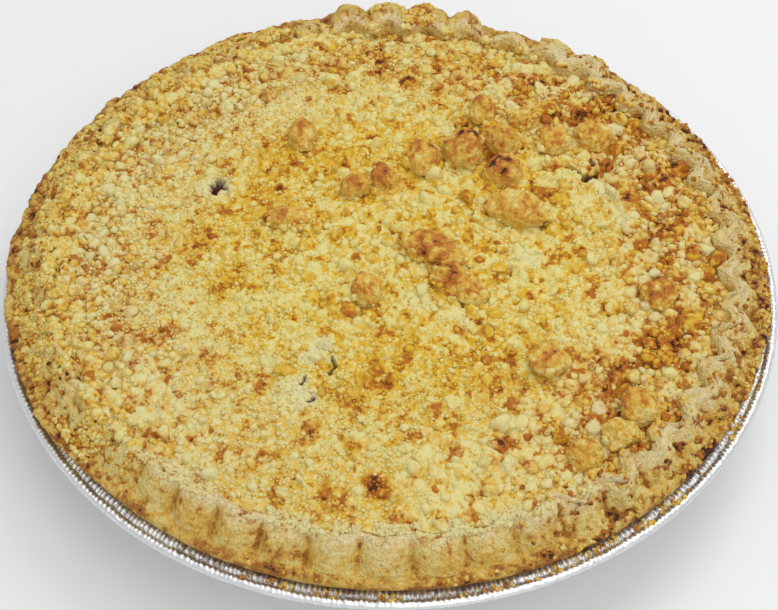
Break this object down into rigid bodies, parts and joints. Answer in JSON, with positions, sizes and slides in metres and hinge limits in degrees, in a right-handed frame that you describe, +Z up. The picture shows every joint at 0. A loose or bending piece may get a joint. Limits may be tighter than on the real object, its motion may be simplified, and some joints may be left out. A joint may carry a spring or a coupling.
{
  "type": "cherry crumb pie",
  "caption": "Whole round cherry pie with a crumb topping and a fluted pastry rim, in its shallow pleated foil tin.",
  "frame": {"origin": "centre of the tin's flat base, on the surface the pie stands on", "axes": "+Z up through the middle of the pie; -Y is the front, towards the picture's camera, and +X is to its right"},
  "size_m": [0.245, 0.245, 0.0521],
  "materials": {
    "foil": "thin bright foil, pleated",
    "pastry": "baked pastry, dry and floury",
    "cherry": "sticky cherry filling",
    "crumb": "dry crumbs, pale yellow with toasted spots",
    "browned": "crumb lumps with browned tops"
  },
  "bodies": {
    "root": {"foil_tin": "foil", "pastry_crust": "pastry", "cherry_filling": "cherry", "crumb_topping": "crumb", "lump_folded": "browned", "lump_folded_tail": "browned", "lump_long": "browned", "lump_burnt_front": "browned", "lump_burnt_back": "browned", "lump_tall": "browned", "lump_behind": "browned", "lump_mottled": "browned", "lump_speckled": "browned", "lump_rough": "browned", "lump_brown_left": "browned", "lump_dark_left": "browned", "lump_pale_left": "browned", "lump_oval": "browned", "lump_twin": "browned", "lump_centre": "browned", "lump_ringed": "browned", "lump_dark_right": "browned", "lump_big_right": "browned", "lump_pale_right": "browned", "lump_browned_right": "browned"}
  },
  "joints": []
}
